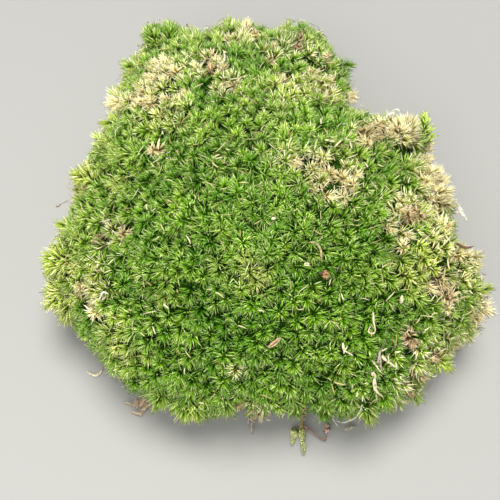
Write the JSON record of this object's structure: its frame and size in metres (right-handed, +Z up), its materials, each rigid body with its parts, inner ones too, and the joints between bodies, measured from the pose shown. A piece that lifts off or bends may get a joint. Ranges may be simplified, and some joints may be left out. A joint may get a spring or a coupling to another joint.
{
  "type": "moss clump",
  "caption": "Loose clump of cushion moss, domed and lobed, with starry shoots, dry patches, a flat cut underside and bits of forest litter caught in it.",
  "frame": {"origin": "on the ground, under the middle of the clump's box", "axes": "+Z up, out of the crown; -Y is the front, where the fullest lobe and the hanging sprig are; +X is the right side, with the dry lobe and the notch behind it"},
  "size_m": [0.1664, 0.1838, 0.0626],
  "materials": {
    "brown": "dry, matt stem and dead leaf",
    "cream": "dry, matt straw",
    "feather_moss": "soft, yellow-green leafy moss",
    "grey": "weathered straw",
    "moss": "soft, dull leaf green, brown underneath",
    "pink_tan": "dry bud scale",
    "red_brown": "dry twig and bud scale, slightly glossy",
    "tan": "dry, matt straw",
    "white": "bleached, dry plant bits"
  },
  "bodies": {
    "root": {"angled_strand_left": "white", "beige_seed": "tan", "bent_blade_left": "cream", "bent_straw_back": "cream", "boat_scale": "red_brown", "bud_scale": "pink_tan", "crescent_strand": "tan", "crossed_straw_lower": "tan", "crossed_straw_upper": "tan", "curled_leaf_right": "cream", "curled_strand_front": "tan", "curved_leaf_right": "cream", "dark_stick_right": "brown", "dead_leaf_left": "brown", "dead_strand_left": "tan", "grey_straw": "grey", "moss_cushion": "moss", "old_stem_front": "brown", "pale_stalk_right": "cream", "pale_strand_front": "cream", "red_leaf_fragment": "red_brown", "red_strand_left": "red_brown", "rootlet_front": "tan", "short_straw_back": "cream", "sprig_branch_left": "feather_moss", "sprig_branch_right": "feather_moss", "sprig_stem": "feather_moss", "stalk_left": "tan", "straw_back_left": "cream", "straw_back_middle": "cream", "straw_back_right": "cream", "tan_crumb": "tan", "twig": "red_brown", "twig_fork_long": "red_brown", "twig_fork_short": "red_brown", "upright_strand_back": "cream", "white_flake_right": "white", "white_fork_branch": "white", "white_fork_stem": "white", "white_seed_front": "white", "white_seed_middle": "white"}
  },
  "joints": []
}
